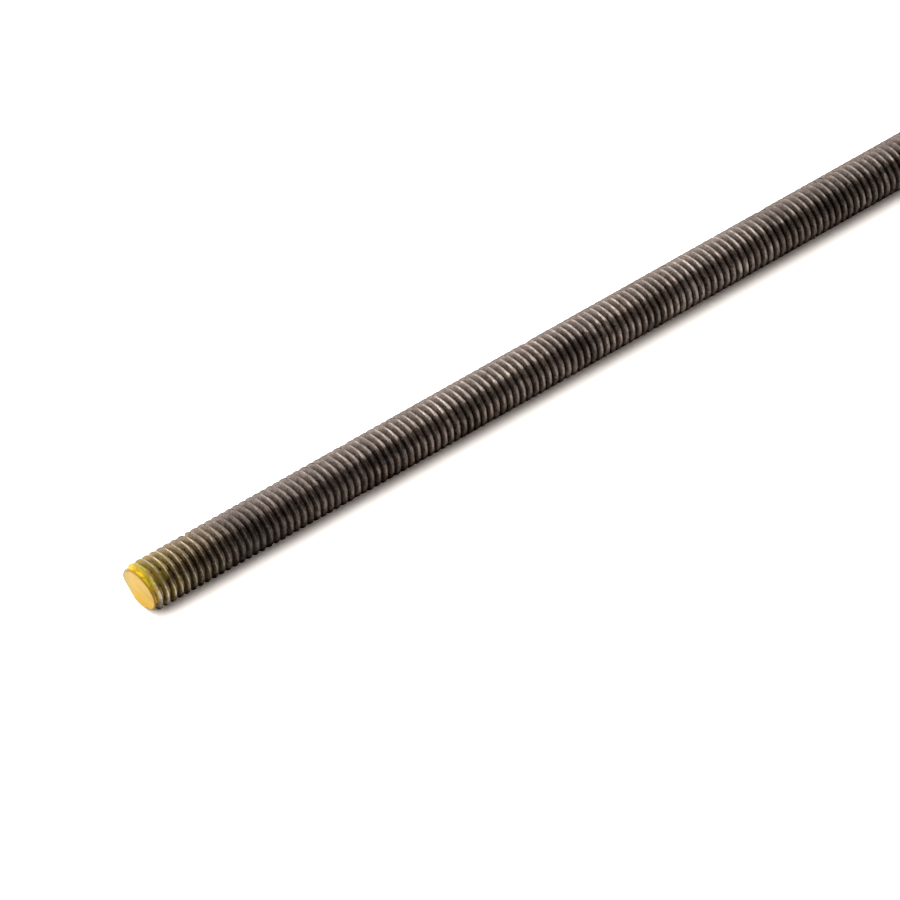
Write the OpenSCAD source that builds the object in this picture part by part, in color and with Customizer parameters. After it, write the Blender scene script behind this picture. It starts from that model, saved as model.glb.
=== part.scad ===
// Threaded rod, also called studding: a steel bar with one screw thread rolled along its
// whole length, sold by the metre and cut to suit. It lies along +X, with the middle of
// its painted end face at the origin. The thread is drawn as the smooth cylinder that its
// crests touch, which is what nuts, washers and clearance holes are sized by.

/* [Thread] */
// Nominal size: diameter over the crests of the thread
thread_d = 8; // [6:1:30]
// Pitch: distance along the rod from one crest to the next
thread_pitch = 1.25; // [0.5:0.05:1.75]

/* [Rod] */
// Stock length over both ends
rod_len = 1000; // [20:10:3000]

/* [Ends] */
// Slope of the lead-in chamfers, measured from the end face
chamfer_angle = 45; // [15:5:60]
// How far a chamfer runs in below the root of the thread, on the radius
chamfer_below_root = 0.1; // [0:0.05:0.5]

/* [Hidden] */
$fn = 96;

steel_colour = [0.29, 0.26, 0.23];
paint_colour = [0.89, 0.74, 0.30];

// ISO metric form: a V of 60 degrees and this height, cut off flat at the crest and
// rounded at the root, which leaves 17/24 of the height as the depth of the thread
v_height = thread_pitch * sqrt(3) / 2;
thread_depth = v_height * 17 / 24;

crest_r = thread_d / 2;
root_r = crest_r - thread_depth;
face_r = root_r - chamfer_below_root;
chamfer_len = (crest_r - face_r) * tan(chamfer_angle);

// Turns an outline of [radius, distance from the painted face] points about the X axis
module turned_on_x(outline) {
    rotate([0, 90, 0])
        rotate_extrude()
            polygon(outline);
}

// The rod is one solid. Its first end, which is the face and its chamfer, is dipped in the
// paint that tells the strength class of the steel, and the other end is left bare.
module threaded_rod() {
    color(paint_colour)
        turned_on_x([
            [0, 0],
            [face_r, 0],
            [crest_r, chamfer_len],
            [0, chamfer_len]
        ]);
    color(steel_colour)
        turned_on_x([
            [0, chamfer_len],
            [crest_r, chamfer_len],
            [crest_r, rod_len - chamfer_len],
            [face_r, rod_len],
            [0, rod_len]
        ]);
}

threaded_rod();
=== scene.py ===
import math
import random
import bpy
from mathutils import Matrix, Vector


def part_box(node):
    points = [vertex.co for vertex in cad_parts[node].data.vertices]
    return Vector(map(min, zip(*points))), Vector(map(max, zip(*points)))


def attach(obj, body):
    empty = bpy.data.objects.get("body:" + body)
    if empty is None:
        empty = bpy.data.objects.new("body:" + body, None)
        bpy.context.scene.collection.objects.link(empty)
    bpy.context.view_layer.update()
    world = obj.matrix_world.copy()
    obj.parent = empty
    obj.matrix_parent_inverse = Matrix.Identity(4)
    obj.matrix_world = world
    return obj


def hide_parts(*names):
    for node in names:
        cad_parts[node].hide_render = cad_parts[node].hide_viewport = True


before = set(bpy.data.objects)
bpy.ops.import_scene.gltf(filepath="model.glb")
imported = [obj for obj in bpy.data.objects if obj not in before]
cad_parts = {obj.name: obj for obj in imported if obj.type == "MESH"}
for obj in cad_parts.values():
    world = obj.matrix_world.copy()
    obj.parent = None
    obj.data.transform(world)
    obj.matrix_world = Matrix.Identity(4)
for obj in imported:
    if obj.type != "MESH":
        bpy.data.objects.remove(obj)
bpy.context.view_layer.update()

from types import SimpleNamespace

import bmesh
import bpy
from mathutils import Matrix, Vector, noise

# ---------------------------------------------------------------------------------------
# Threaded rod. One bar of plain steel with a right-hand thread rolled along its whole
# length, sawn off a little out of square, deburred, and dipped in yellow paint at one end.
# ---------------------------------------------------------------------------------------
rod_low, rod_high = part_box("threaded_rod")
rod_len = rod_high.x - rod_low.x
crest_r = rod_high.z

# Thread: a V of 60 degrees with a flat root. The crests next to the painted end are sharper.
pitch = 0.00125
v_height = pitch * math.sqrt(3) / 2
thread_depth = v_height * 17 / 24
root_r = crest_r - thread_depth
root_flat = pitch / 8
full_half_crest = pitch / 8
sharp_half_crest = pitch / 15
sharp_turns = 15                     # turns with the sharpest crest
filling_turns = 30                   # turns over which it then grows full
edges_a_turn = 4                     # two of the crest, two of the root
first_crest = 0.9 * pitch            # where the first whole turn starts, on the +Y side

# Ends: both are sawn and chamfered, and the painted one is out of square
cut_lean = Vector((-0.089, -0.082))  # how far the painted face leans back, along y and z
cut_back = 0.00059                   # where that face crosses the middle of the rod
face_r = root_r - 0.00003            # the flat of an end, inside its chamfer
chamfer_reach = 0.0018               # how far along the rod a chamfer may reach
chamfer_rise = 1.0                   # how far it rises for each step along the rod
filed_side = Vector((0, -0.6, 0.8))  # the painted end's chamfer is deepest on this side
off_centre = 0.00023                 # and lies this much off the middle of the rod

# Mesh: fine for the turns next to the painted end, coarser for the rest
steps_round = 60                     # columns round the rod
coarse_step = 3                      # every third column does for the coarser turns
fine_turns = 135
spare_turns = 3                      # drawn past each end, and then cut off
chamfer_cuts = 3                     # each edge near a chamfer is cut this many times
most_thread_corners = 6              # a face with more corners than this isn't fine thread
least_end_corners = 20               # a face with more than this is the end of the rod
sharp_edge = math.radians(25)

# Crests are never quite even
waves_per_metre = 900
wave_depth = 0.000013
wave_wander = 0.00006                # how far a crest strays along the rod
wander_pace = 1.9                    # it strays this much more often than it rises and falls
wander_start = Vector((7, 3, 5))     # and out of step with that

# Knocks from handling: where each one is, and how wide and deep it is
rim_knock = (Vector((0.00015, 0.0038, -0.0009)), 0.0009, 0.0004)
knock_count = 750
first_knock_x = 0.004
knock_widths = (0.0005, 0.0011)
knock_depths = (0.00005, 0.00017)
knock_slope = 1.6                    # how soon a dent gets to its full depth
knock_shove = 0.6                    # how far the steel goes along the rod for each step in
bruise_slope = 2                     # how soon the steel in it looks fully bruised

knocks = [rim_knock]
shaken = random.Random(8)
for count in range(knock_count):
    knock_angle = shaken.uniform(0, 2 * math.pi)
    knock_x = shaken.uniform(first_knock_x, rod_len)
    knock_place = Vector((knock_x, crest_r * math.cos(knock_angle), crest_r * math.sin(knock_angle)))
    knocks.append((knock_place, shaken.uniform(*knock_widths), shaken.uniform(*knock_depths)))

knocks_of_turn = {}
for knock in knocks:
    knocked_turn = round(knock[0].x / pitch)
    for turn in (knocked_turn - 1, knocked_turn, knocked_turn + 1):
        knocks_of_turn.setdefault(turn, []).append(knock)


def painted_face_x(y, z):
    """How far along the rod the painted face lies, at one spot of it."""
    return cut_back + cut_lean.x * y + cut_lean.y * z


def one_turn(turn):
    """Distance along and depth of the four edges of a turn: its crest, then its root."""
    full = min(max((turn - sharp_turns) / filling_turns, 0), 1)
    half_crest = sharp_half_crest + (full_half_crest - sharp_half_crest) * full
    crest_middle = full_half_crest
    root_middle = crest_middle + pitch / 2
    return [(crest_middle - half_crest, 0), (crest_middle + half_crest, 0),
            (root_middle - root_flat / 2, thread_depth), (root_middle + root_flat / 2, thread_depth)]


def thread_point(turn, along, depth, column):
    """A point of the thread, with its crest's waves and knocks, and how bruised it is."""
    angle = 2 * math.pi * column / steps_round
    x = first_crest + pitch * (turn + column / steps_round) + along
    if depth == 0:
        wave = Vector((x, crest_r * math.cos(angle), crest_r * math.sin(angle))) * waves_per_metre
        depth = wave_depth * (1 + noise.noise(wave))
        x += wave_wander * noise.noise(wave * wander_pace + wander_start)
    radius = crest_r - depth
    spot = Vector((x, radius * math.cos(angle), radius * math.sin(angle)))
    bruise = 0
    for place, width, knock_depth in knocks_of_turn.get(round(x / pitch), ()):
        close = 1 - (spot - place).length / width
        if close > 0 and depth < thread_depth / 2:
            push = knock_depth * min(1, knock_slope * close)
            spot.y -= push * math.cos(angle)
            spot.z -= push * math.sin(angle)
            spot.x += knock_shove * push
            bruise = max(bruise, min(1, bruise_slope * close))
    return spot, bruise


def thread_surface():
    """The bare thread as one winding strip, a little longer than the rod at both ends."""
    first_turn = -spare_turns
    last_turn = round(rod_len / pitch) + spare_turns
    rows = [(turn, *edge) for turn in range(first_turn, last_turn) for edge in one_turn(turn)]
    first_coarse_row = edges_a_turn * (fine_turns - first_turn)
    points = []
    bruises = []
    number = {}
    for i, (turn, along, depth) in enumerate(rows):
        step = 1 if i <= first_coarse_row else coarse_step
        for column in range(0, steps_round, step):
            number[i, column] = len(points)
            spot, bruise = thread_point(turn, along, depth, column)
            points.append(spot)
            bruises.append(bruise)
    # Once round the rod, each edge goes on as the same edge of the next turn
    for i in range(len(rows) - edges_a_turn):
        number[i, steps_round] = number[i + edges_a_turn, 0]
    faces = []
    for i in range(len(rows) - edges_a_turn - 1):
        step = 1 if i < first_coarse_row else coarse_step
        for column in range(0, steps_round, step):
            span = range(column, column + step + 1)
            near = [number[i, c] for c in span if (i, c) in number]
            far = [number[i + 1, c] for c in span if (i + 1, c) in number]
            faces.append(near + far[::-1])
    mesh = bpy.data.meshes.new("threaded_rod_surface")
    mesh.from_pydata(points, [], faces)
    mesh.attributes.new("bruise", "FLOAT", "POINT").data.foreach_set("value", bruises)
    return mesh


def cut(bm, place, normal):
    """Saws the bar through and closes it with a flat face."""
    parts = bm.verts[:] + bm.edges[:] + bm.faces[:]
    sawn = bmesh.ops.bisect_plane(bm, geom=parts, plane_co=place, plane_no=normal, clear_outer=True)
    rim = [e for e in sawn["geom_cut"] if isinstance(e, bmesh.types.BMEdge)]
    bmesh.ops.contextual_create(bm, geom=rim)


def deburr(bm, distance_in, shift=0.0):
    """Turns a chamfer on one end of the bar, on a finer mesh. It may lie off the middle."""
    near = [e for e in bm.edges if all(distance_in(v.co) < chamfer_reach for v in e.verts)]
    near = [e for e in near if len(e.link_faces) == 2
            and all(len(f.verts) <= most_thread_corners for f in e.link_faces)]
    bmesh.ops.subdivide_edges(bm, edges=near, cuts=chamfer_cuts, use_grid_fill=True)
    for vert in bm.verts:
        inside = distance_in(vert.co)
        radius = math.hypot(vert.co.y, vert.co.z)
        shifted = shift * (1 - vert.co.dot(filed_side) / (radius + 1e-9))
        limit = face_r + max(inside, 0) * chamfer_rise + shifted
        if inside < chamfer_reach and radius > limit:
            vert.co.y *= limit / radius
            vert.co.z *= limit / radius


def build_rod():
    """Winds the thread, saws and deburrs both ends, and marks the edges that look sharp."""
    bm = bmesh.new()
    bm.from_mesh(thread_surface())
    cut(bm, (cut_back, 0, 0), (-1, cut_lean.x, cut_lean.y))
    cut(bm, (rod_high.x, 0, 0), (1, 0, 0))
    deburr(bm, lambda p: p.x - painted_face_x(p.y, p.z), off_centre)
    deburr(bm, lambda p: rod_high.x - p.x)
    # A point that only cuts an edge in two has no work to do, and could leave a stray flap
    along_one_edge = [v for v in bm.verts if len(v.link_edges) == 2]
    bmesh.ops.dissolve_verts(bm, verts=along_one_edge)
    bmesh.ops.recalc_face_normals(bm, faces=bm.faces)
    for edge in bm.edges:
        rim = any(len(f.verts) > least_end_corners for f in edge.link_faces)
        edge.smooth = not (edge.calc_face_angle(0) > sharp_edge or rim)
    for face in bm.faces:
        face.smooth = True
    mesh = bpy.data.meshes.new("threaded_rod")
    bm.to_mesh(mesh)
    bm.free()
    rod = bpy.data.objects.new("threaded_rod_steel", mesh)
    bpy.context.scene.collection.objects.link(rod)
    return rod


rod = build_rod()

# Steel, as rolling and handling leave it
flank_brown = (0.272, 0.225, 0.197, 1)
flank_grey = (0.252, 0.214, 0.196, 1)
crest_brown = (0.197, 0.163, 0.142, 1)
crest_grey = (0.19, 0.162, 0.147, 1)
rubbed_bright = (0.72, 0.64, 0.53)
bruised_bright = (0.36, 0.32, 0.28, 1)
dust_grey = (0.242, 0.199, 0.178)
stain_tint = (1.22, 1.1, 0.6)
rust_brown = (0.13, 0.06, 0.035, 1)
dusty_side = (0, 0.766, 0.643)       # dust has settled on this side of the rod

# Paint, thick on the face and the chamfer, and thin where it is smeared
face_yellow = (0.77, 0.485, 0.078, 1)
streaky_yellow = (0.62, 0.4, 0.038, 1)
pooled_yellow = (0.78, 0.47, 0.012, 1)
dusty_yellow = (0.52, 0.42, 0.13, 1)
lemon_yellow = (0.93, 0.66, 0.03, 1)
orange_spot = (0.60, 0.34, 0.015, 1)
thin_green = (0.50, 0.43, 0.03, 1)
# the rim's painted shade, with dirt: orange at the upper back, dark brown at the lower front
back_rim_orange = (0.48, 0.27, 0.02, 1)
front_rim_brown = (0.16, 0.08, 0.02, 1)
dull_olive = (0.31, 0.24, 0.1, 1)
smear_green = (0.3, 0.26, 0.03, 1)
smear_brown = (0.42, 0.25, 0.05, 1)
ran_back = (0, -0.12, -0.08)         # it ran further along for each step to the back or up


def add_node(tree, kind, inputs=None, **settings):
    """One node, with its settings, its values and its links."""
    made = tree.nodes.new(kind)
    for name, value in settings.items():
        setattr(made, name, value)
    for name, value in (inputs or {}).items():
        if isinstance(value, bpy.types.NodeSocket):
            tree.links.new(value, made.inputs[name])
        else:
            made.inputs[name].default_value = value
    return made


def rise(tree, value, low, high, to_low=0.0, to_high=1.0):
    """Goes from one level to the other as the value, in metres if a distance, goes from low to high."""
    ramp = add_node(tree, "ShaderNodeMapRange", {
        "Value": value, "From Min": low, "From Max": high, "To Min": to_low, "To Max": to_high})
    return ramp.outputs[0]


def sum_of(tree, value, factor, offset):
    """The value times the factor, with the offset added."""
    summed = add_node(tree, "ShaderNodeMath", {0: value, 1: factor, 2: offset}, operation="MULTIPLY_ADD")
    return summed.outputs[0]


def product(tree, first, *others):
    """All the values multiplied."""
    for other in others:
        first = add_node(tree, "ShaderNodeMath", {0: first, 1: other}, operation="MULTIPLY").outputs[0]
    return first


def greatest(tree, first, *others):
    """The greatest of the values."""
    for other in others:
        first = add_node(tree, "ShaderNodeMath", {0: first, 1: other}, operation="MAXIMUM").outputs[0]
    return first


def towards(tree, place, direction):
    """How far the place lies in the direction."""
    ahead = add_node(tree, "ShaderNodeVectorMath", {0: place, 1: direction}, operation="DOT_PRODUCT")
    return ahead.outputs["Value"]


def blend(tree, amount, first, second):
    """Goes from the first colour to the second as the amount goes from 0 to 1."""
    mix = add_node(tree, "ShaderNodeMix", {"Factor": amount, 6: first, 7: second}, data_type="RGBA")
    return mix.outputs[2]


def dim(tree, colour, level):
    """The colour at a level of brightness."""
    return add_node(tree, "ShaderNodeVectorMath", {0: colour, "Scale": level}, operation="SCALE").outputs[0]


def mottle(tree, place, size, detail=2.0, shift=0):
    """Cloudy values round 0.5, in patches of the given size."""
    moved = add_node(tree, "ShaderNodeVectorMath", {0: place, 1: (shift, shift, shift)}, operation="ADD")
    clouds = add_node(tree, "ShaderNodeTexNoise", {
        "Vector": moved.outputs[0], "Scale": 1 / size, "Detail": detail})
    return clouds.outputs[0]


def find_places(tree):
    """Where a spot of the rod lies, and the patterns and areas that steel and paint share."""
    at = SimpleNamespace()
    at.place = add_node(tree, "ShaderNodeTexCoord").outputs["Object"]
    sideways = add_node(tree, "ShaderNodeSeparateXYZ", {0: at.place})
    at.back = sideways.outputs["Y"]
    at.up = sideways.outputs["Z"]
    across = add_node(tree, "ShaderNodeVectorMath", {0: at.place, 1: (0, 1, 1)}, operation="MULTIPLY")
    outward = add_node(tree, "ShaderNodeVectorMath", {0: across.outputs[0]}, operation="LENGTH")
    at.radius = outward.outputs["Value"]
    at.from_cut = sum_of(tree, towards(tree, at.place, (1, -cut_lean.x, -cut_lean.y)), 1, -cut_back)

    at.grain = mottle(tree, at.place, 0.0003, 3)
    at.specks = mottle(tree, at.place, 0.0008, 2, 4.1)
    at.patches = mottle(tree, at.place, 0.0016, 3, 0.2)

    # Paint ran to the upper back while wet, and has rubbed off the crests of the lower front
    at.run_back = towards(tree, at.place, ran_back)
    at.front = rise(tree, at.run_back, 0.0001, 0.0004)
    rubbed_end = product(tree, at.front, rise(tree, at.from_cut, 0.0016, 0.0024, 1, 0))
    at.on_crest = rise(tree, sum_of(tree, rubbed_end, 0.0003, at.radius),
                       crest_r - 0.00008, crest_r - 0.00003)
    at.kept = rise(tree, product(tree, at.on_crest, rise(tree, at.run_back, 0.0001, 0.0005)), 0, 1, 1, 0.1)
    at.scuffed = product(tree, at.on_crest, rise(tree, at.patches, 0.38, 0.58, 0.3, 1),
                         rise(tree, at.from_cut, 0.003, 0.015, 0.95, 0))

    # Dust has settled along the top, more in the grooves than on the crests
    at.dust = product(tree, rise(tree, towards(tree, at.place, dusty_side), 0.001, 0.003, 0, 0.8),
                      rise(tree, at.on_crest, 0, 1, 1, 0.2), rise(tree, at.specks, 0.3, 0.7, 0.7, 1.3))

    # How far a spot is past the ragged line down to which the end was dipped
    at.run = mottle(tree, at.place, 0.0013, 2, 1.7)
    at.spots = mottle(tree, at.place, 0.0009, 2, 2.2)
    at.edge = sum_of(tree, at.run, 0.0012, sum_of(tree, at.from_cut, 1, at.run_back))
    return at


def oil_and_painted_shade(tree, at):
    """Oil, spotty and uneven along the rod, and painted shade over the lower half, darkest underneath."""
    spots = rise(tree, mottle(tree, at.place, 0.006, 2, 5.3), 0.54, 0.62, 1, 0.68)
    # Painted shade over the lower half, weakest at the painted end and stronger further on
    painted_low_shade = product(tree, rise(tree, at.up, 0.0019, 0.0031, 1, 0),
                       rise(tree, at.from_cut, 0.002, 0.008, 0.15, 0.44),
                       rise(tree, at.from_cut, 0.07, 0.095, 1, 0.7),
                       rise(tree, at.from_cut, 0.107, 0.123, 1, 1.4))
    # The underside is darkened to half, also as painted shade
    return product(tree, rise(tree, at.from_cut, 0.02, 0.05, 0.72, 1),
                   rise(tree, at.from_cut, 0.105, 0.13, 1, 0.76), spots,
                   rise(tree, at.up, -0.0016, 0.0002, 0.5, 1),
                   rise(tree, painted_low_shade, 0, 1, 1, 0))


def bare_steel(tree, at):
    """Mill-dark flanks and rubbed crests, under painted shade in the grooves and the lower half, bruises,
    oil, dust, stain and rust.
    """
    drift = mottle(tree, at.place, 0.018, 2, 0.5)
    flank = blend(tree, rise(tree, drift, 0.35, 0.65), flank_brown, flank_grey)
    flank = dim(tree, flank, product(tree, rise(tree, at.grain, 0.3, 0.7, 0.45, 1.6),
                                     rise(tree, at.specks, 0.3, 0.7, 0.75, 1.3)))
    crest = blend(tree, drift, crest_brown, crest_grey)
    crest = dim(tree, crest, product(tree, rise(tree, at.patches, 0.3, 0.7, 0.5, 1.4),
                                     rise(tree, at.grain, 0.3, 0.7, 0.6, 1.4)))
    rubbed = dim(tree, rubbed_bright, rise(tree, at.grain, 0.3, 0.7, 0.6, 1.2))
    steel = blend(tree, at.on_crest, flank, blend(tree, at.scuffed, crest, rubbed))

    # A groove is darker from the crest down, as painted shade with dirt, but the very bottom of it stays
    # brighter
    steel = dim(tree, steel, rise(tree, at.radius, root_r + 0.00012, crest_r - 0.00012, 0.36, 1.05))
    at_root = rise(tree, at.radius, root_r + 0.00002, root_r + 0.00008, 1, 0)
    steel = dim(tree, steel, rise(tree, at_root, 0, 1, 1, 2.2))

    bruised = add_node(tree, "ShaderNodeAttribute", attribute_name="bruise").outputs["Fac"]
    steel = blend(tree, product(tree, bruised, 0.7), steel, bruised_bright)
    steel = dim(tree, steel, oil_and_painted_shade(tree, at))
    steel = blend(tree, at.dust, steel, dim(tree, dust_grey, rise(tree, at.grain, 0.3, 0.7, 0.6, 1.4)))

    # The thinnest paint is only a stain, which fades out over the first turns
    stain = product(tree, at.kept, rise(tree, at.from_cut, 0.003, 0.017, 1, 0),
                    rise(tree, at.scuffed, 0, 1, 1, 0.12))
    stained = add_node(tree, "ShaderNodeVectorMath", {0: steel, 1: stain_tint}, operation="MULTIPLY")
    steel = blend(tree, stain, steel, stained.outputs[0])
    rust = product(tree, rise(tree, mottle(tree, at.place, 0.0006, 1, 0.9), 0.62, 0.68),
                   rise(tree, mottle(tree, at.place, 0.011, 1, 1.3), 0.5, 0.62), 0.6)
    return blend(tree, rust, steel, rust_brown)


def thick_paint(tree, at):
    """Smooth yellow on the face, lemon and orange on the chamfer, brown along the rim."""
    stretched = add_node(tree, "ShaderNodeMapping", {
        "Vector": at.place, "Rotation": (0.9, 0, 0), "Scale": (1, 1, 4)}, vector_type="POINT")
    streaks = mottle(tree, stretched.outputs[0], 0.004, 2, 3.1)
    face = blend(tree, rise(tree, streaks, 0.35, 0.65), face_yellow, streaky_yellow)
    pooled = rise(tree, sum_of(tree, streaks, 0.004, at.up), -0.0002, 0.003, 1, 0)
    face = blend(tree, pooled, face, pooled_yellow)
    dusty = rise(tree, sum_of(tree, streaks, 0.003, at.back), 0.0025, 0.0048, 0, 0.6)
    face = blend(tree, dusty, face, dusty_yellow)

    chamfer = blend(tree, rise(tree, at.spots, 0.5, 0.62), lemon_yellow, orange_spot)
    chamfer = blend(tree, rise(tree, at.edge, 0.0009, 0.0014), chamfer, thin_green)
    on_face = rise(tree, at.from_cut, 0.00002, 0.00012, 1, 0)
    paint = blend(tree, rise(tree, sum_of(tree, on_face, 1, at.front), 0, 1), chamfer, face)

    # Painted shade, with dirt, runs round the rim of the face along a ragged line: orange at the upper
    # back, dark brown at the lower front
    toward_filed = towards(tree, at.place, filed_side)
    filed = add_node(tree, "ShaderNodeMath", {0: toward_filed, 1: at.radius}, operation="DIVIDE")
    past_rim = sum_of(tree, at.run, 0.0009, sum_of(tree, filed.outputs[0], off_centre, at.radius))
    on_rim = product(tree, rise(tree, at.from_cut, 0.00015, 0.0003, 1, 0),
                     rise(tree, past_rim, face_r + 0.00057, face_r + 0.00065), 0.85)
    rim_shade_and_dirt = blend(tree, rise(tree, at.run_back, -0.0003, 0.0004), back_rim_orange, front_rim_brown)
    paint = blend(tree, on_rim, paint, rim_shade_and_dirt)
    dull_rim = product(tree, on_face, rise(tree, at.back, 0.001, 0.003),
                       rise(tree, past_rim, face_r + 0.0004, face_r + 0.0005), 0.85)
    return blend(tree, dull_rim, paint, dull_olive)


def painted_steel():
    """One finish for the whole rod: steel, then smeared paint over it, then thick paint."""
    finish = bpy.data.materials.new("rolled_steel_painted_end")
    finish.use_nodes = True
    tree = finish.node_tree
    shader = tree.nodes["Principled BSDF"]
    at = find_places(tree)
    thick = product(tree, at.kept, rise(tree, at.edge, 0.0013, 0.0016, 1, 0))

    # Smears and lumps lie in the grooves beyond the dipped end, and have rubbed off the crests
    lumps = product(tree, rise(tree, at.patches, 0.48, 0.58), rise(tree, at.edge, 0.003, 0.0075, 1, 0))
    smear = greatest(tree, rise(tree, sum_of(tree, at.edge, -60, at.run), 0.27, 0.36), lumps)
    rubbed = rise(tree, product(tree, at.on_crest, rise(tree, at.edge, 0.0014, 0.0021)), 0, 1, 1, 0.1)
    smear = product(tree, at.kept, rise(tree, at.front, 0, 1, 1, 0.3), rubbed, smear)
    smear_paint = blend(tree, rise(tree, at.spots, 0.4, 0.6), smear_green, smear_brown)

    colour = blend(tree, product(tree, smear, 0.7), bare_steel(tree, at), smear_paint)
    colour = blend(tree, thick, colour, thick_paint(tree, at))
    tree.links.new(colour, shader.inputs["Base Color"])

    # Whatever covers the steel takes away its metal shine. The roots of the lower half are made matt too,
    # most near the painted end, as painted bounce light.
    painted_root_bounce = product(tree, rise(tree, at.radius, root_r + 0.0001, root_r + 0.0005, 1, 0),
                        rise(tree, at.from_cut, 0.02, 0.05, 0.4, 0.15),
                        rise(tree, at.up, 0.001, 0.0028, 1, 0))
    covered = greatest(tree, thick, product(tree, smear, 0.6), product(tree, at.scuffed, 0.3),
                       at.dust, painted_root_bounce)
    tree.links.new(rise(tree, covered, 0, 1, 1, 0), shader.inputs["Metallic"])
    rough = rise(tree, at.on_crest, 0, 1, 0.31, 0.3)
    tree.links.new(sum_of(tree, covered, 0.12, rough), shader.inputs["Roughness"])
    shader.inputs["Specular Tint"].default_value = (0.15, 0.15, 0.15, 1)
    uneven = sum_of(tree, at.patches, 3.0, at.grain)
    relief = add_node(tree, "ShaderNodeBump", {"Height": uneven, "Strength": 0.5, "Distance": 0.00002})
    tree.links.new(relief.outputs[0], shader.inputs["Normal"])
    return finish


rod.data.materials.append(painted_steel())
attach(rod, "root")
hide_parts("threaded_rod")

# ---------------------------------------------------------------------------------------
# Floor. A sheet of white paper that the rod lies on, too wide for its edges to show. It
# shows as plain white, yet lights the rod no more than real paper does.
# ---------------------------------------------------------------------------------------
floor_half = 6                       # metres from the middle to an edge
paper_lit = (0.8, 0.785, 0.77, 1)
paper_seen = (2.0, 1.93, 1.89, 1)

floor_mesh = bpy.data.meshes.new("floor")
corners = [(-floor_half, -floor_half, 0), (floor_half, -floor_half, 0),
           (floor_half, floor_half, 0), (-floor_half, floor_half, 0)]
floor_mesh.from_pydata(corners, [], [(0, 1, 2, 3)])
floor = bpy.data.objects.new("floor", floor_mesh)
floor.location.z = rod_low.z
bpy.context.scene.collection.objects.link(floor)

paper = bpy.data.materials.new("white_paper")
paper.use_nodes = True
paper_tree = paper.node_tree
paper_tree.nodes.clear()
ray = add_node(paper_tree, "ShaderNodeLightPath")
seen = greatest(paper_tree, ray.outputs["Is Glossy Ray"], ray.outputs["Is Transmission Ray"],
                ray.outputs["Is Camera Ray"])
tone = blend(paper_tree, seen, paper_lit, paper_seen)
matt = add_node(paper_tree, "ShaderNodeBsdfDiffuse", {"Color": tone})
add_node(paper_tree, "ShaderNodeOutputMaterial", {"Surface": matt.outputs[0]})
floor.data.materials.append(paper)

# ---------------------------------------------------------------------------------------
# Light. Two strip lamps, over the back and over the top, draw a bright line on each crest.
# A fill lamp hangs on the left, and the room is dim, with a pale wall at the back.
# ---------------------------------------------------------------------------------------
lit_place = Vector((0.08, 0, 0))     # every lamp hangs a metre off this spot and faces it
room_tint = (1, 0.9, 0.8)
bright_side = Vector((-0.4, 0.9, 0.0)).normalized()
dim_side = Vector((-0.8, -0.6, 0.0))


def hang_soft_box(name, direction, along, width, length, radiance):
    """A rectangle of light a metre off, its length lying along the given line."""
    light = bpy.data.lights.new(name, "AREA")
    light.shape = "RECTANGLE"
    light.size = width
    light.size_y = length
    light.energy = radiance * math.pi * width * length
    lamp = bpy.data.objects.new(name, light)
    away = Vector(direction).normalized()
    lengthways = (Vector(along) - away * away.dot(Vector(along))).normalized()
    turned = Matrix((lengthways.cross(away), lengthways, away)).transposed().to_4x4()
    lamp.matrix_world = Matrix.Translation(lit_place + away) @ turned
    bpy.context.scene.collection.objects.link(lamp)


def over_the_rod(height):
    """Towards a place over the rod, so many degrees up from its back."""
    angle = math.radians(height)
    return (0.43, 0.9 * math.cos(angle), 0.9 * math.sin(angle))


hang_soft_box("key_back", over_the_rod(33), (0, -0.5, 0.8), 0.32, 0.95, 3.3)
hang_soft_box("key_top", over_the_rod(80), (0, 1, -0.1), 0.32, 0.80, 3.8)
hang_soft_box("fill", (-0.5, -0.15, 0.85), (0, 1, 0), 1.1, 0.5, 2.4)

world = bpy.data.worlds.new("studio")
bpy.context.scene.world = world
world.use_nodes = True
sky = world.node_tree
room = sky.nodes["Background"]
outward = add_node(sky, "ShaderNodeTexCoord").outputs["Generated"]
towards_bright = towards(sky, outward, bright_side)
height = add_node(sky, "ShaderNodeSeparateXYZ", {0: outward}).outputs["Z"]
room_wall = dim(sky, room_tint, rise(sky, towards(sky, outward, dim_side), -0.3, 0.5, 0.33, 0.13))
back_wall = rise(sky, towards_bright, 0.0, 0.95, 0.0, 1.15)
low_band = product(sky, rise(sky, height, 0.0, 0.3, 0.55, 0.0),
                   rise(sky, towards_bright, 0.0, 0.9, 1.0, 3.5),
                   rise(sky, towards_bright, -0.95, -0.5, 2.2, 1.0))
paler = sum_of(sky, back_wall, 1, low_band)
lit = add_node(sky, "ShaderNodeVectorMath", {0: room_wall, 1: paler}, operation="ADD")
sky.links.new(lit.outputs[0], room.inputs["Color"])

# ---------------------------------------------------------------------------------------
# Camera. A long lens looks down on the painted end from the front left, so close that the
# rod runs out of view at the upper right.
# ---------------------------------------------------------------------------------------
azimuth = math.radians(37.98)
elevation = math.radians(46.62)
aim = Vector((0.05362, -0.00577, 0))
distance = 0.8653
forward = Vector((math.sin(azimuth) * math.cos(elevation),
                  math.cos(azimuth) * math.cos(elevation),
                  -math.sin(elevation)))
camera = bpy.data.cameras.new("camera")
camera.lens = 231.9                  # millimetres
camera.clip_start = 0.01
camera.clip_end = 100
camera_object = bpy.data.objects.new("camera", camera)
camera_object.location = aim - forward * distance
camera_object.rotation_mode = "QUATERNION"
camera_object.rotation_quaternion = forward.to_track_quat("-Z", "Y")
bpy.context.scene.collection.objects.link(camera_object)
bpy.context.scene.camera = camera_object
bpy.context.scene.view_settings.view_transform = "Standard"
